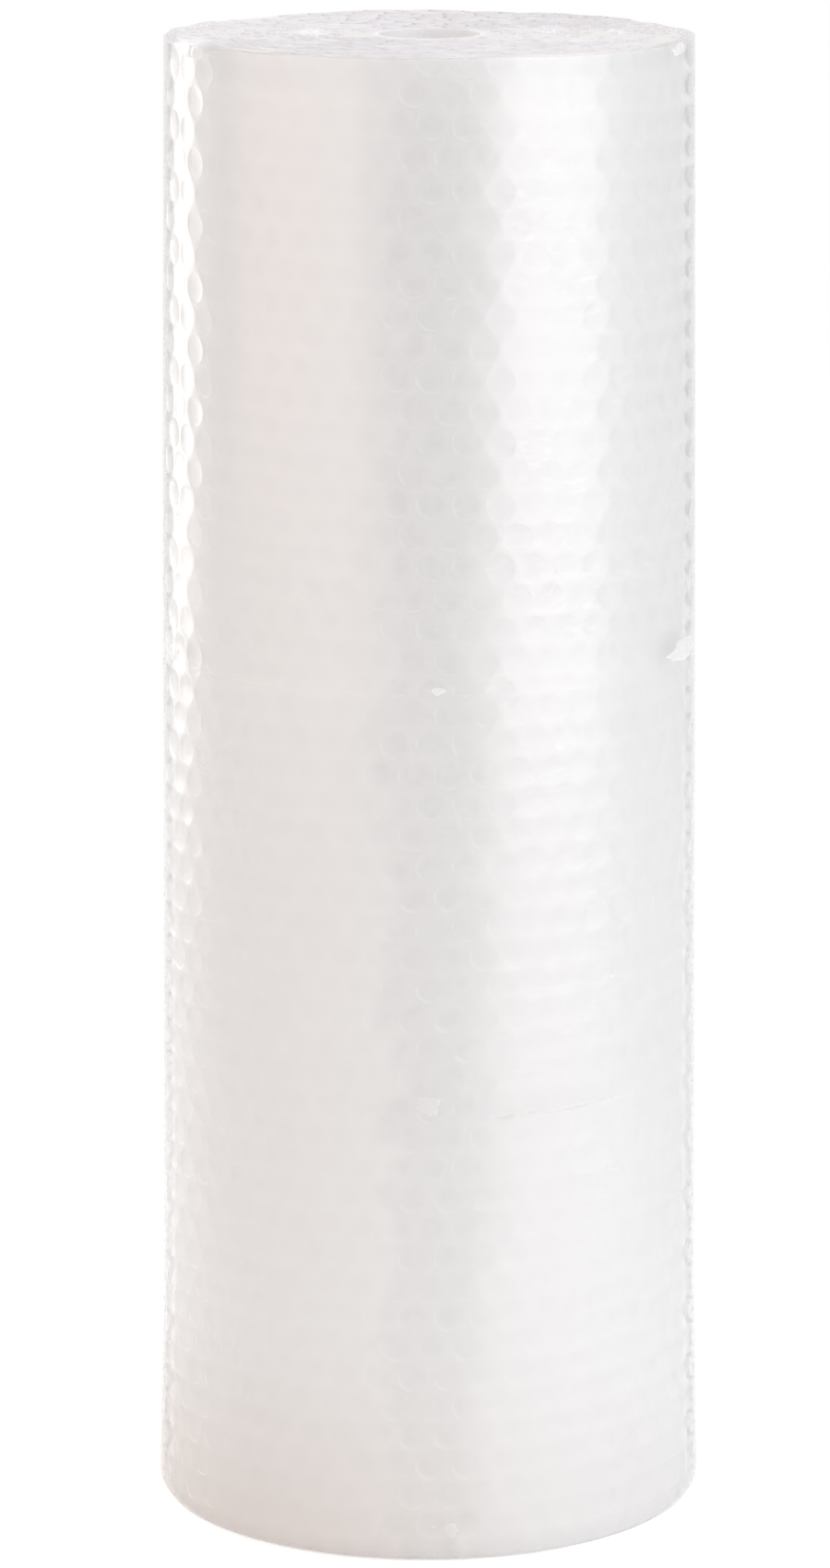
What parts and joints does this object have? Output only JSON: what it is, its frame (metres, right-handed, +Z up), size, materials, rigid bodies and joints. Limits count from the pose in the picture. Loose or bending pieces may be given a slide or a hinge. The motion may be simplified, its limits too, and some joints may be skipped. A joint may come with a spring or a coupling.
{
  "type": "bubble wrap roll",
  "caption": "Coreless roll of clear small-bubble cushioning film, slit across into two roll widths that stand one on the other.",
  "frame": {"origin": "middle of the roll's box at the plane it stands on, on the axis of the hole through the roll", "axes": "+Z up along the roll, -Y towards the viewer, +Y at the back where the tail of the film lies"},
  "size_m": [0.187, 0.1898, 0.5],
  "materials": {
    "upper_film": "glossy translucent film",
    "lower_film": "glossy translucent film"
  },
  "bodies": {
    "root": {"upper_roll": "upper_film", "lower_roll": "lower_film"}
  },
  "joints": []
}
